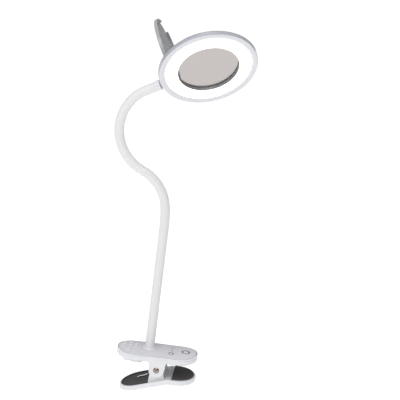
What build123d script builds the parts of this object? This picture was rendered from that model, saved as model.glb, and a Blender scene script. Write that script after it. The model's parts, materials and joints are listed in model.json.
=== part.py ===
"""Clip-on magnifying lamp: a spring clamp, a gooseneck and a lit ring head with a hinged lens lid.

Millimetres. The origin is on the upper jaw pad's face, where the clamp sits on the edge of a desk.
+X runs along the clamp towards the jaw tip, +Z is up, and -Y is the front.
"""
import os
from math import cos, degrees, radians, sin, sqrt, tan

from build123d import *

os.makedirs("parts", exist_ok=True)

# ---------------------------------------------------------------- driving dimensions
# clamp housing
CLAMP_LENGTH = 100.0
CLAMP_WIDTH = 46.0
CLAMP_LEFT = -82.0
HOUSING_BOTTOM = 1.0
SEAM_Z = 6.2
CROWN_TOP = 10.0
CROWN_RADIUS = 134.0
SHELL_WALL = 1.8
FLOOR_TOP = 2.6
RIM_ROUND = 1.2
PANEL_INSET = 1.5
PANEL_ROUND = 0.4
PANEL_BOTTOM = 7.4
LEDGE_WIDTH = 3.0
FIT_GAP = 0.15
PANEL_GAP = 0.45
SEAM_CHAMFER = 0.5

# screws that hold the clamp housing together
HANDLE_SCREWS = [(-75.8, 0.0), (-45.4, 14.4), (-45.4, -14.4)]
JAW_SCREWS = [(9.3, 8.4), (9.3, -8.4)]
SCREW_RADIUS = 1.25
SCREW_HEAD = 2.3
SCREW_HEAD_HEIGHT = 1.2
BOSS_RADIUS = 2.7
BOSS_TOP = 3.6

# battery pod under the handle end
POD_LEFT = -72.0
POD_STEP = -63.0
POD_RIGHT = -49.0
POD_WIDTH = 34.0
POD_SHALLOW = 3.6
POD_DEEP = 4.6
POD_WALL = 1.5

# raised dots on the handle end
DOT_RADIUS = 1.25
DOT_SINK = 0.7
DOT_PROUD = 0.4
DOT_ROWS = [10.0, 2.5, -5.0, -12.5]
DOT_COLUMNS = [-74.2, -66.7, -59.2]

# pivot and jaws
PIVOT_X = -29.1
PIVOT_Z = -8.8
EAR_RADIUS = 9.3
EAR_ROOT = (-38.8, -17.8)
EAR_THICK = 4.0
PIN_RADIUS = 2.4
RUNNING_GAP = 0.05
DOME_RADIUS = 3.8
DOME_HEIGHT = 1.9
PIN_TAIL = 1.2
LUG_RADIUS = 7.5
LUG_THICK = 4.0
LUG_GAP = 0.4
DESK_THICK = 18.0
PAD_THICK = 1.6
PAD_SINK = 0.6
PAD_INSET = 2.6
LEVER_THICK = 6.0
HANDLE_SLOPE = 18.0
HANDLE_LEFT = -75.5
KINK_X = -15.0
DISH_RIM = 1.6
DISH_DEPTH = 2.0
DISH_FLOOR = 0.9
DISH_RIGHT = -38.0

# torsion spring
COIL_RADIUS = 5.2
WIRE_RADIUS = 0.8
COIL_PITCH = 1.75
COIL_TURNS = 6
UPPER_LEG_ANGLE = 78.0
LOWER_LEG_ANGLE = -48.6
UPPER_LEG_END_X = -45.4
BUSH_RADIUS = 4.1

# buttons, indicator lights and electronics
POWER_X = 3.0
POWER_RADIUS = 5.5
POWER_TOP = 10.2
MODE_X = -14.0
MODE_Y = -9.0
MODE_RADIUS = 3.3
MODE_TOP = 9.9
BUTTON_GAP = 0.2
RING_DEPTH = 0.4
LIGHT_SPOTS = [(-14.0, 0.0), (-14.0, 9.0)]
LIGHT_RADIUS = 1.25
BOARD_LEFT = -32.0
BOARD_RIGHT = 6.2
BOARD_WIDTH = 32.0
BOARD_BOTTOM = 3.0
BOARD_THICK = 1.0
SWITCH_SIDE = 4.5
SWITCH_HEIGHT = 1.2
PLUNGER_HEIGHT = 0.2
USB_X = -14.0
USB_WIDTH = 9.0
USB_HEIGHT = 3.2
USB_BOTTOM = 2.6
USB_LENGTH = 7.2

# gooseneck
NECK_X = -42.0
NECK_START_Z = 16.0
COLLAR_BASE = 9.2
COLLAR_SEAT_Z = 9.2
STUB_RADIUS = 4.5
STUB_BOTTOM = 4.0
NUT_FLATS = 14.0
NUT_BOTTOM = 4.4
SLEEVE_RADIUS = 5.75
SLEEVE_BORE = 4.75
SLEEVE_HALF_GAP = 1.6
CORE_RADIUS = 3.2
CORE_FOOT = 6.0
WIRE_HOLE = 1.6
BALL_RADIUS = 3.4
BALL_GAP = 0.08
CUP_RADIUS = 4.6
CUP_MOUTH = 1.6
BALL_NECK = 1.6
NECK_LEAN = 2.0
# each run is (length, 0) for a straight or (radius, turn); a positive turn leans towards +X
NECK_RUNS = [(150.0, 0.0), (200.0, -7.0), (51.5, -61.0), (53.5, 129.0), (10.8, 0.0)]
NECK_JOINTS = 8

# head, with depths measured back from the front rim
HEAD_RADIUS = 58.0
HEAD_ROLL = 46.0
HEAD_DEPTH = 10.0
NECK_AXIS_DEPTH = 5.6
FERRULE_LENGTH = 8.0
FERRULE_RADIUS = 6.3
FERRULE_STUB = 2.4
BEZEL_DEPTH = 4.9
BACK_SLOPE_DEPTH = 5.4
WALL = 1.7
BEZEL_LIP = 50.9
BEZEL_FLAT = 53.8
LENS_OPENING = 36.0
TUBE_RADIUS = 40.0
TUBE_TOP = 0.9
LENS_RADIUS = 38.4
LENS_FRONT = 5.5
LENS_EDGE = 2.0
LENS_BULGE = 1.9
RETAINER_BORE = 36.0
LED_RING = 46.0
LED_COUNT = 40
LED_BOARD_INNER = 41.0
LED_BOARD_OUTER = 48.0
LED_BOARD_TOP = 4.6
LED_BOARD_THICK = 1.0
POST_RING = 50.3
POST_RADIUS = 2.0
POST_COUNT = 4

# lens lid, drawn open at right angles to the head
LID_RADIUS = 37.3
LID_HINGE_OFFSET = 41.0
LID_HINGE_DEPTH = 12.2
LID_REACH = 3.8
LID_PLATE_BACK = -2.4
LID_PLATE_FRONT = -1.0
LID_SKIRT_TOP = 1.8
LID_SKIRT_WALL = 1.3
LID_FINGER_GAP = 20.0
BARREL_RADIUS = 1.9
BARREL_HALF = 6.9
HINGE_LUG = 2.5
HINGE_PIN = 0.9

# ---------------------------------------------------------------- worked-out dimensions
CLAMP_CENTRE = CLAMP_LEFT + CLAMP_LENGTH / 2
CLAMP_RIGHT = CLAMP_LEFT + CLAMP_LENGTH
HALF_WIDTH = CLAMP_WIDTH / 2
EAR_INNER = HALF_WIDTH - EAR_THICK
LUG_OUTER = EAR_INNER - LUG_GAP
LUG_INNER = LUG_OUTER - LUG_THICK
LEVER_TOP = -DESK_THICK - PAD_THICK
SLOPE = radians(HANDLE_SLOPE)
ALL_SCREWS = HANDLE_SCREWS + JAW_SCREWS
BOARD_TOP = BOARD_BOTTOM + BOARD_THICK

LOW = (Align.CENTER, Align.CENTER, Align.MIN)
HIGH = (Align.CENTER, Align.CENTER, Align.MAX)


def save(piece, label):
    """Name one finished piece and write it to its own STEP file."""
    piece.part.label = label
    export_step(piece.part, f"parts/{label}.step")


def side_plane(y):
    """A plane facing -Y, whose sketch x and y run along +X and +Z."""
    return Plane(origin=(0, y, 0), x_dir=(1, 0, 0), z_dir=(0, -1, 0))


def crown_z(y):
    """Height of the crowned top at a distance y from the clamp's centre line."""
    return CROWN_TOP - CROWN_RADIUS + sqrt(CROWN_RADIUS**2 - y**2)


def handle_z(x):
    """Height of the lower handle's top face left of its kink."""
    return LEVER_TOP - (KINK_X - x) * tan(SLOPE)


def stadium(inset):
    """Draw the clamp's plan outline, moved in by inset, into the open sketch."""
    with Locations((CLAMP_CENTRE, 0)):
        SlotOverall(CLAMP_LENGTH - 2 * inset, CLAMP_WIDTH - 2 * inset)


def crown():
    """Cut the open part down to the crowned top, a large cylinder along X."""
    with BuildSketch(Plane.YZ.offset(CLAMP_CENTRE)) as end_view:
        with Locations((0, CROWN_TOP - CROWN_RADIUS)):
            Circle(CROWN_RADIUS)
    extrude(end_view.sketch, amount=CLAMP_LENGTH, both=True, mode=Mode.INTERSECT)


def slab(z, height, inset, mode=Mode.ADD):
    """A plate of the clamp's plan outline in the open part."""
    with BuildSketch(Plane.XY.offset(z)) as outline:
        stadium(inset)
    extrude(outline.sketch, amount=height, mode=mode)


def pins(spots, z, height, radius, mode=Mode.ADD):
    """Upright cylinders that start at height z in the open part."""
    with Locations(*[(x, y, z) for x, y in spots]):
        Cylinder(radius, height, align=LOW, mode=mode)


# ---------------------------------------------------------------- clamp housing
DOT_SPOTS = [
    (x, y, crown_z(y)) for x in DOT_COLUMNS for y in DOT_ROWS if (x, y) != (DOT_COLUMNS[0], DOT_ROWS[3])
]

with BuildPart() as top_panel:
    slab(PANEL_BOTTOM, 6, PANEL_INSET)
    crown()
    fillet(top_panel.faces().sort_by(Axis.Z)[-1].edges(), PANEL_ROUND)
    pins(ALL_SCREWS, BOSS_TOP + 0.1, PANEL_BOTTOM - BOSS_TOP, BOSS_RADIUS)
    pins(ALL_SCREWS, FLOOR_TOP, 5.0, SCREW_RADIUS, Mode.SUBTRACT)
    pins([(NECK_X, 0)], COLLAR_SEAT_Z, 5, COLLAR_BASE + FIT_GAP, Mode.SUBTRACT)
    pins([(NECK_X, 0)], PANEL_BOTTOM - 1, 6, STUB_RADIUS + FIT_GAP, Mode.SUBTRACT)
    pins([(POWER_X, 0)], PANEL_BOTTOM - 1, 6, POWER_RADIUS + BUTTON_GAP, Mode.SUBTRACT)
    pins([(MODE_X, MODE_Y)], PANEL_BOTTOM - 1, 6, MODE_RADIUS + BUTTON_GAP, Mode.SUBTRACT)
    pins(LIGHT_SPOTS, PANEL_BOTTOM - 1, 6, LIGHT_RADIUS + RUNNING_GAP, Mode.SUBTRACT)
    with Locations(*DOT_SPOTS):
        Cylinder(DOT_RADIUS + RUNNING_GAP, 2 * DOT_SINK, mode=Mode.SUBTRACT)
save(top_panel, "top_panel")

with BuildPart() as grip_dots:
    with Locations(*DOT_SPOTS):
        with Locations((0, 0, -DOT_SINK)):
            Cylinder(DOT_RADIUS, DOT_SINK + DOT_PROUD, align=LOW)
    dot_tops = [face.edges() for face in grip_dots.faces().filter_by(Plane.XY) if face.normal_at().Z > 0]
    fillet([edge for edges in dot_tops for edge in edges], DOT_PROUD * 0.9)
save(grip_dots, "grip_dots")


with BuildPart() as upper_housing:
    slab(SEAM_Z, 7, 0)
    crown()
    fillet(upper_housing.faces().sort_by(Axis.Z)[-1].edges(), RIM_ROUND)
    chamfer(upper_housing.faces().sort_by(Axis.Z)[0].edges(), SEAM_CHAMFER)
    slab(PANEL_BOTTOM, 6, PANEL_INSET - PANEL_GAP, Mode.SUBTRACT)
    slab(SEAM_Z, 6, LEDGE_WIDTH, Mode.SUBTRACT)
save(upper_housing, "upper_housing")


def jaw_outline(left, inset):
    """Draw the jaw end of the plan outline, right of left, into the open sketch."""
    stadium(inset)
    with Locations((left, 0)):
        Rectangle(CLAMP_LENGTH, CLAMP_WIDTH, align=(Align.MIN, Align.CENTER), mode=Mode.INTERSECT)


UPPER_PAD_LEFT = -15.0
POD_PARTS = [(POD_LEFT, POD_RIGHT, POD_SHALLOW), (POD_STEP, POD_RIGHT, POD_DEEP)]

with BuildPart() as lower_housing:
    slab(HOUSING_BOTTOM, SEAM_Z - HOUSING_BOTTOM, 0)
    fillet(lower_housing.faces().sort_by(Axis.Z)[0].edges(), RIM_ROUND)
    chamfer(lower_housing.faces().sort_by(Axis.Z)[-1].edges(), SEAM_CHAMFER)
    for left, right, depth in POD_PARTS:
        with BuildSketch(Plane.XY.offset(HOUSING_BOTTOM - depth)):
            with Locations(((left + right) / 2, 0)):
                RectangleRounded(right - left, POD_WIDTH, 3.5)
        extrude(amount=depth + 1)
    for outer in (-EAR_INNER, HALF_WIDTH):
        with BuildSketch(side_plane(outer)):
            with Locations((PIVOT_X, PIVOT_Z)):
                Circle(EAR_RADIUS)
            with Locations((EAR_ROOT[0], FLOOR_TOP)):
                Rectangle(EAR_ROOT[1] - EAR_ROOT[0], 1, align=(Align.MIN, Align.MAX))
            make_hull()
        extrude(amount=EAR_THICK)
    slab(FLOOR_TOP, 6, SHELL_WALL, Mode.SUBTRACT)
    with BuildSketch(Plane.XY.offset(HOUSING_BOTTOM - POD_SHALLOW + POD_WALL)):
        with Locations(((POD_LEFT + POD_RIGHT) / 2, 0)):
            RectangleRounded(POD_RIGHT - POD_LEFT - 2 * POD_WALL, POD_WIDTH - 2 * POD_WALL, 2.0)
    extrude(amount=8, mode=Mode.SUBTRACT)
    pins(ALL_SCREWS, FLOOR_TOP - 0.5, BOSS_TOP - FLOOR_TOP + 0.5, BOSS_RADIUS)
    board_middle = (BOARD_LEFT + BOARD_RIGHT) / 2
    with Locations((board_middle, -9, FLOOR_TOP - 0.5), (board_middle, 5, FLOOR_TOP - 0.5)):
        Box(34, 2, BOARD_BOTTOM - FLOOR_TOP + 0.5, align=LOW)
    with BuildSketch(Plane.XY):
        jaw_outline(UPPER_PAD_LEFT - FIT_GAP, PAD_INSET - FIT_GAP)
    extrude(amount=PAD_THICK, mode=Mode.SUBTRACT)
    pins(ALL_SCREWS, 0, 5, SCREW_RADIUS + FIT_GAP, Mode.SUBTRACT)
    pins(HANDLE_SCREWS, 0, HOUSING_BOTTOM + 0.1 + SCREW_HEAD_HEIGHT, SCREW_HEAD + FIT_GAP, Mode.SUBTRACT)
    pins(JAW_SCREWS, 0, PAD_THICK + SCREW_HEAD_HEIGHT, SCREW_HEAD + FIT_GAP, Mode.SUBTRACT)
    with Locations((PIVOT_X, 0, PIVOT_Z)):
        Cylinder(PIN_RADIUS + RUNNING_GAP, CLAMP_WIDTH + 2, rotation=(90, 0, 0), mode=Mode.SUBTRACT)
    with Locations((USB_X, HALF_WIDTH, USB_BOTTOM - FIT_GAP)):
        Box(USB_WIDTH + 2 * FIT_GAP, 8, USB_HEIGHT + 2 * FIT_GAP, align=LOW, mode=Mode.SUBTRACT)
save(lower_housing, "lower_housing")

with BuildPart() as housing_screws:
    for spots, head_bottom in ((HANDLE_SCREWS, HOUSING_BOTTOM + 0.1), (JAW_SCREWS, PAD_THICK)):
        pins(spots, head_bottom, SCREW_HEAD_HEIGHT, SCREW_HEAD)
        pins(spots, head_bottom, 7.0 - head_bottom, SCREW_RADIUS)
        for x, y in spots:
            with Locations((x, y, head_bottom)):
                Box(0.6, 2.6, 1.2, mode=Mode.SUBTRACT)
                Box(2.6, 0.6, 1.2, mode=Mode.SUBTRACT)
save(housing_screws, "housing_screws")

with BuildPart() as upper_jaw_pad:
    with BuildSketch(Plane.XY):
        jaw_outline(UPPER_PAD_LEFT, PAD_INSET)
    extrude(amount=PAD_THICK)
save(upper_jaw_pad, "upper_jaw_pad")

# ---------------------------------------------------------------- electronics in the housing
BATTERY_SIZE = (19.4, 30.0, 6.2)

with BuildPart() as battery:
    with Locations(((POD_LEFT + POD_RIGHT) / 2, 0, HOUSING_BOTTOM - POD_SHALLOW + POD_WALL + 0.1)):
        Box(*BATTERY_SIZE, align=LOW)
    fillet(battery.edges().filter_by(Axis.Z), 2.2)
save(battery, "battery")

with BuildPart() as control_board:
    with BuildSketch(Plane.XY.offset(BOARD_BOTTOM)):
        with Locations(((BOARD_LEFT + BOARD_RIGHT) / 2, 0)):
            RectangleRounded(BOARD_RIGHT - BOARD_LEFT, BOARD_WIDTH, 1.5)
        with Locations((USB_X, BOARD_WIDTH / 2)):
            Rectangle(USB_WIDTH + 0.6, 6.0, mode=Mode.SUBTRACT)
    extrude(amount=BOARD_THICK)
save(control_board, "control_board")

CHIPS = [
    (-26, -4, 5, 5, 0.9),
    (-26, 5, 4, 4, 1.4),
    (-20, -12, 3, 1.6, 0.8),
    (-4, 8, 5, 4, 1.0),
    (-4, -8, 3, 1.6, 0.8),
]

with BuildPart() as board_chips:
    for x, y, length, width, height in CHIPS:
        with Locations((x, y, BOARD_TOP)):
            Box(length, width, height, align=LOW)
save(board_chips, "board_chips")

with BuildPart() as tact_switches:
    for x, y in ((POWER_X, 0), (MODE_X, MODE_Y)):
        with Locations((x, y, BOARD_TOP)):
            Box(SWITCH_SIDE, SWITCH_SIDE, SWITCH_HEIGHT, align=LOW)
            Cylinder(1.0, SWITCH_HEIGHT + PLUNGER_HEIGHT, align=LOW)
save(tact_switches, "tact_switches")

with BuildPart() as indicator_lights:
    pins(LIGHT_SPOTS, BOARD_TOP, 8, LIGHT_RADIUS)
    crown()
save(indicator_lights, "indicator_lights")

USB_FACE = Plane(
    origin=(USB_X, HALF_WIDTH - 0.3, USB_BOTTOM + USB_HEIGHT / 2), x_dir=(1, 0, 0), z_dir=(0, -1, 0)
)

with BuildPart() as usb_socket:
    with BuildSketch(USB_FACE):
        RectangleRounded(USB_WIDTH, USB_HEIGHT, 1.45)
    extrude(amount=USB_LENGTH)
    with BuildSketch(USB_FACE):
        RectangleRounded(USB_WIDTH - 0.6, USB_HEIGHT - 0.6, 1.2)
    extrude(amount=USB_LENGTH - 0.8, mode=Mode.SUBTRACT)
    with BuildSketch(USB_FACE.offset(1.5)):
        Rectangle(6.6, 0.7)
    extrude(amount=USB_LENGTH - 2.0)
save(usb_socket, "usb_socket")

with BuildPart() as base_leads:
    for y in (10.6, 12.4):
        with BuildLine() as lead_path:
            FilletPolyline(
                (-50.0, y, 3.4), (-47.5, y - 1.5, 4.5), (-36.0, y - 1.5, 4.5), (-31.0, y - 3, 4.5), radius=1.0
            )
        with BuildSketch(Plane(origin=lead_path.line @ 0, z_dir=lead_path.line % 0)):
            Circle(0.5)
        sweep()
save(base_leads, "base_leads")


def push_button(x, y, top, radius):
    """A round button with a flange under the panel, a stem over its switch and a groove for a ring."""
    with BuildPart() as button:
        with Locations((x, y, 0)):
            with Locations((0, 0, PANEL_BOTTOM - 1.0)):
                Cylinder(radius + 0.9, 0.8, align=LOW)
                Cylinder(radius, top - PANEL_BOTTOM + 1.0, align=LOW)
                Cylinder(1.5, 0.35, align=HIGH)
        fillet(button.faces().sort_by(Axis.Z)[-1].edges(), 0.3)
        with BuildSketch(Plane.XY.offset(top - RING_DEPTH)):
            with Locations((x, y)):
                Circle(radius * 0.92)
                Circle(radius * 0.64, mode=Mode.SUBTRACT)
        extrude(amount=1, mode=Mode.SUBTRACT)
    return button


def button_ring(x, y, top, radius):
    """The dark ring let into a button's top."""
    with BuildPart() as ring:
        with BuildSketch(Plane.XY.offset(top - RING_DEPTH)):
            with Locations((x, y)):
                Circle(radius * 0.92 - 0.02)
                Circle(radius * 0.64 + 0.02, mode=Mode.SUBTRACT)
        extrude(amount=RING_DEPTH - 0.05)
    return ring


save(push_button(POWER_X, 0, POWER_TOP, POWER_RADIUS), "power_button")
save(button_ring(POWER_X, 0, POWER_TOP, POWER_RADIUS), "power_button_ring")
save(push_button(MODE_X, MODE_Y, MODE_TOP, MODE_RADIUS), "mode_button")
save(button_ring(MODE_X, MODE_Y, MODE_TOP, MODE_RADIUS), "mode_button_ring")

# ---------------------------------------------------------------- pivot pin, bush and spring
PIVOT_AXIS = Axis((PIVOT_X, 0, PIVOT_Z), (0, 1, 0))
DOME_SPHERE = (DOME_RADIUS**2 + DOME_HEIGHT**2) / (2 * DOME_HEIGHT)

with BuildPart() as pivot_pin:
    with Locations((PIVOT_X, -HALF_WIDTH, PIVOT_Z)):
        Cylinder(DOME_RADIUS, DOME_HEIGHT, rotation=(90, 0, 0), align=LOW)
        with Locations((0, DOME_SPHERE - DOME_HEIGHT, 0)):
            Sphere(DOME_SPHERE, mode=Mode.INTERSECT)
        Cylinder(PIN_RADIUS, CLAMP_WIDTH + PIN_TAIL, rotation=(-90, 0, 0), align=LOW)
save(pivot_pin, "pivot_pin")

with BuildPart() as pivot_nut:
    with Locations((PIVOT_X, HALF_WIDTH, PIVOT_Z)):
        Cylinder(DOME_RADIUS, DOME_HEIGHT, rotation=(-90, 0, 0), align=LOW)
        with Locations((0, DOME_HEIGHT - DOME_SPHERE, 0)):
            Sphere(DOME_SPHERE, mode=Mode.INTERSECT)
        Cylinder(PIN_RADIUS + 0.02, PIN_TAIL + 0.02, rotation=(-90, 0, 0), align=LOW, mode=Mode.SUBTRACT)
save(pivot_nut, "pivot_nut")

with BuildPart() as pivot_bush:
    with Locations((PIVOT_X, 0, PIVOT_Z)):
        Cylinder(BUSH_RADIUS, 2 * LUG_INNER - 0.6, rotation=(90, 0, 0))
        Cylinder(PIN_RADIUS + RUNNING_GAP, 2 * LUG_INNER, rotation=(90, 0, 0), mode=Mode.SUBTRACT)
save(pivot_bush, "pivot_bush")


def coil_point(angle, y):
    """A point on the coil's centre line, at an angle from +X towards +Z about the pivot."""
    turn = radians(angle)
    return Vector(PIVOT_X + COIL_RADIUS * cos(turn), y, PIVOT_Z + COIL_RADIUS * sin(turn))


COIL_SWEEP = UPPER_LEG_ANGLE - LOWER_LEG_ANGLE + 360 * COIL_TURNS
COIL_HEIGHT = COIL_PITCH * COIL_SWEEP / 360
COIL_START = coil_point(UPPER_LEG_ANGLE, -COIL_HEIGHT / 2)
COIL_END = coil_point(LOWER_LEG_ANGLE, COIL_HEIGHT / 2)
UPPER_LEG_RISE = (COIL_START.X - UPPER_LEG_END_X) * tan(radians(90 - UPPER_LEG_ANGLE))
LEG_HEEL_X = -43.2
LEG_TIP_X = -54.5
LEG_LIFT = (WIRE_RADIUS + 0.1) / cos(SLOPE)
DISH_DROP = (DISH_DEPTH - DISH_FLOOR) / cos(SLOPE)


def wire(*points):
    """A straight or bent length of spring wire in the open part."""
    with BuildLine() as run:
        if len(points) > 2:
            FilletPolyline(*points, radius=2.0)
        else:
            Line(*points)
    with BuildSketch(Plane(origin=run.line @ 0, z_dir=run.line % 0)) as section:
        Circle(WIRE_RADIUS)
    sweep(section.sketch, path=run.line)


with BuildPart() as torsion_spring:
    with BuildLine() as coil:
        Helix(COIL_PITCH, COIL_HEIGHT, COIL_RADIUS, center=(0, 0, 0), direction=(0, 1, 0))
    turned = coil.line.moved(Location((PIVOT_X, -COIL_HEIGHT / 2, PIVOT_Z)))
    start_spoke = (turned @ 0) - Vector(PIVOT_X, -COIL_HEIGHT / 2, PIVOT_Z)
    wrong_angle = Vector(1, 0, 0).get_signed_angle(start_spoke, Vector(0, -1, 0))
    turned = turned.rotate(PIVOT_AXIS, wrong_angle - UPPER_LEG_ANGLE)
    with BuildSketch(Plane(origin=turned @ 0, z_dir=turned % 0)):
        Circle(WIRE_RADIUS)
    sweep(path=turned, is_frenet=True)
    with Locations(COIL_START, COIL_END):
        Sphere(WIRE_RADIUS + 0.08)
    wire(COIL_START, (UPPER_LEG_END_X, COIL_START.Y, COIL_START.Z + UPPER_LEG_RISE))
    wire(
        COIL_END,
        (LEG_HEEL_X, COIL_END.Y, handle_z(LEG_HEEL_X) - DISH_DROP + LEG_LIFT + 1.2),
        (LEG_TIP_X, COIL_END.Y, handle_z(LEG_TIP_X) - DISH_DROP + LEG_LIFT),
    )
save(torsion_spring, "torsion_spring")

# ---------------------------------------------------------------- lower jaw
HANDLE_PLANE = Plane(
    origin=(KINK_X, 0, LEVER_TOP), x_dir=(cos(SLOPE), 0, sin(SLOPE)), z_dir=(-sin(SLOPE), 0, cos(SLOPE))
)
HANDLE_RUN = (KINK_X - HANDLE_LEFT) / cos(SLOPE)
DISH_RUN = (KINK_X - DISH_RIGHT) / cos(SLOPE)
LOWER_PAD_LEFT = -10.0


def handle_outline(inset, right):
    """Draw the handle's rounded end on its sloping plane, from the tip to a distance right of the kink."""
    length = HANDLE_RUN - right - inset
    with Locations((-HANDLE_RUN + inset, 0)):
        SlotOverall(length + HALF_WIDTH, CLAMP_WIDTH - 2 * inset, align=(Align.MIN, Align.CENTER))
    with Locations((-HANDLE_RUN + inset, 0)):
        Rectangle(length, CLAMP_WIDTH, align=(Align.MIN, Align.CENTER), mode=Mode.INTERSECT)


with BuildPart() as lower_lever:
    drop = LEVER_THICK / cos(SLOPE)
    inner_kink = KINK_X + (drop - LEVER_THICK) / tan(SLOPE)
    with BuildSketch(side_plane(HALF_WIDTH)):
        with BuildLine():
            Polyline(
                (HANDLE_LEFT - 5, handle_z(HANDLE_LEFT - 5)),
                (KINK_X, LEVER_TOP),
                (CLAMP_RIGHT, LEVER_TOP),
                (CLAMP_RIGHT, LEVER_TOP - LEVER_THICK),
                (inner_kink, LEVER_TOP - LEVER_THICK),
                (HANDLE_LEFT - 5, handle_z(HANDLE_LEFT - 5) - drop),
                close=True,
            )
        make_face()
    extrude(amount=CLAMP_WIDTH)
    with BuildSketch(Plane.XY.offset(-60)):
        with Locations(((HANDLE_LEFT + CLAMP_RIGHT) / 2, 0)):
            SlotOverall(CLAMP_RIGHT - HANDLE_LEFT, CLAMP_WIDTH)
    extrude(amount=60, mode=Mode.INTERSECT)
    rim = lower_lever.edges().filter_by(Axis.Y, reverse=True).filter_by(Axis.Z, reverse=True)
    fillet(rim, 1.0)
    for outer in (-LUG_INNER, LUG_OUTER):
        with BuildSketch(side_plane(outer)):
            with BuildLine():
                Polyline(
                    (-39.0, handle_z(-39.0) - 2),
                    (-19.0, handle_z(-19.0) - 2),
                    (PIVOT_X + LUG_RADIUS, PIVOT_Z),
                    (PIVOT_X - LUG_RADIUS, PIVOT_Z),
                    close=True,
                )
            make_face()
            with Locations((PIVOT_X, PIVOT_Z)):
                Circle(LUG_RADIUS)
        extrude(amount=LUG_THICK)
    with Locations((PIVOT_X, 0, PIVOT_Z)):
        Cylinder(PIN_RADIUS + RUNNING_GAP, CLAMP_WIDTH, rotation=(90, 0, 0), mode=Mode.SUBTRACT)
    with BuildSketch(HANDLE_PLANE.offset(-DISH_DEPTH)):
        handle_outline(DISH_RIM, DISH_RUN)
    extrude(amount=DISH_DEPTH, mode=Mode.SUBTRACT)
    with BuildSketch(Plane.XY.offset(LEVER_TOP - PAD_SINK)):
        jaw_outline(LOWER_PAD_LEFT - FIT_GAP, PAD_INSET - FIT_GAP)
    extrude(amount=PAD_SINK, mode=Mode.SUBTRACT)
save(lower_lever, "lower_lever")

with BuildPart() as lower_handle_pad:
    with BuildSketch(HANDLE_PLANE.offset(-DISH_DEPTH)):
        handle_outline(DISH_RIM + FIT_GAP, DISH_RUN + FIT_GAP)
    extrude(amount=DISH_DEPTH)
    with BuildSketch(HANDLE_PLANE.offset(-DISH_DEPTH + DISH_FLOOR)):
        handle_outline(DISH_RIM + 1.0, DISH_RUN + 1.0)
    extrude(amount=DISH_DEPTH, mode=Mode.SUBTRACT)
save(lower_handle_pad, "lower_handle_pad")

with BuildPart() as lower_jaw_pad:
    with BuildSketch(Plane.XY.offset(LEVER_TOP - PAD_SINK)):
        jaw_outline(LOWER_PAD_LEFT, PAD_INSET)
    extrude(amount=PAD_SINK + PAD_THICK)
save(lower_jaw_pad, "lower_jaw_pad")

# ---------------------------------------------------------------- gooseneck
with BuildPart() as neck_nut:
    with BuildSketch(Plane.XY.offset(NUT_BOTTOM)):
        with Locations((NECK_X, 0)):
            RegularPolygon(NUT_FLATS / 2, 6, major_radius=False)
            Circle(STUB_RADIUS + RUNNING_GAP, mode=Mode.SUBTRACT)
    extrude(amount=PANEL_BOTTOM - NUT_BOTTOM)
save(neck_nut, "neck_nut")


def direction(lean):
    """Unit vector in the XZ plane at an angle of lean from straight up, towards +X."""
    return Vector(sin(radians(lean)), 0, cos(radians(lean)))


def neck_pieces():
    """The neck's straights and arcs, as (start, end, point, lean, radius, turn) by distance along it."""
    point = Vector(NECK_X, 0, NECK_START_Z)
    lean = NECK_LEAN
    start = 0.0
    pieces = []
    for size, turn in NECK_RUNS:
        length = abs(radians(turn)) * size if turn else size
        pieces.append((start, start + length, point, lean, size, turn))
        point = neck_point(pieces[-1], start + length)
        start += length
        lean += turn
    return pieces


def neck_point(piece, distance):
    """The point on one straight or arc at a distance along the neck."""
    start, _, point, lean, size, turn = piece
    if not turn:
        return point + direction(lean) * (distance - start)
    side = direction(lean + (90 if turn > 0 else -90))
    swept = (distance - start) / size * (1 if turn > 0 else -1)
    centre = point + side * size
    return centre - direction(lean + (90 if turn > 0 else -90) + degrees(swept)) * size


def neck_lean(piece, distance):
    """The neck's lean, in degrees, at a distance along one straight or arc."""
    start, end, _, lean, _, turn = piece
    return lean + turn * (distance - start) / (end - start)


NECK = neck_pieces()
NECK_LENGTH = NECK[-1][1]
NECK_STEP = NECK_LENGTH / NECK_JOINTS
JOINT_PLACES = [NECK_STEP * (number + 0.5) for number in range(NECK_JOINTS)]


def piece_at(distance):
    """The straight or arc that holds a distance along the neck."""
    return next((piece for piece in NECK if piece[0] <= distance <= piece[1]), NECK[-1])


def neck_frame(distance):
    """A plane square to the neck at a distance along it, facing along the neck."""
    piece = piece_at(distance)
    return Plane(
        origin=neck_point(piece, distance), x_dir=(0, 1, 0), z_dir=direction(neck_lean(piece, distance))
    )


def draw_run(first, last):
    """Draw the neck's centre line from one distance to another into the open line."""
    for piece in NECK:
        low = max(first, piece[0])
        high = min(last, piece[1])
        if high - low < 0.01:
            continue
        if piece[5]:
            middle = neck_point(piece, (low + high) / 2)
            ThreePointArc(neck_point(piece, low), middle, neck_point(piece, high))
        else:
            Line(neck_point(piece, low), neck_point(piece, high))


def neck_sleeve(first, last):
    """A length of the soft outer sleeve."""
    with BuildPart() as sleeve:
        with BuildLine() as run:
            draw_run(first, last)
        with BuildSketch(neck_frame(first)):
            Circle(SLEEVE_RADIUS)
            Circle(SLEEVE_BORE, mode=Mode.SUBTRACT)
        sweep(path=run.line)
    return sleeve


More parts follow.
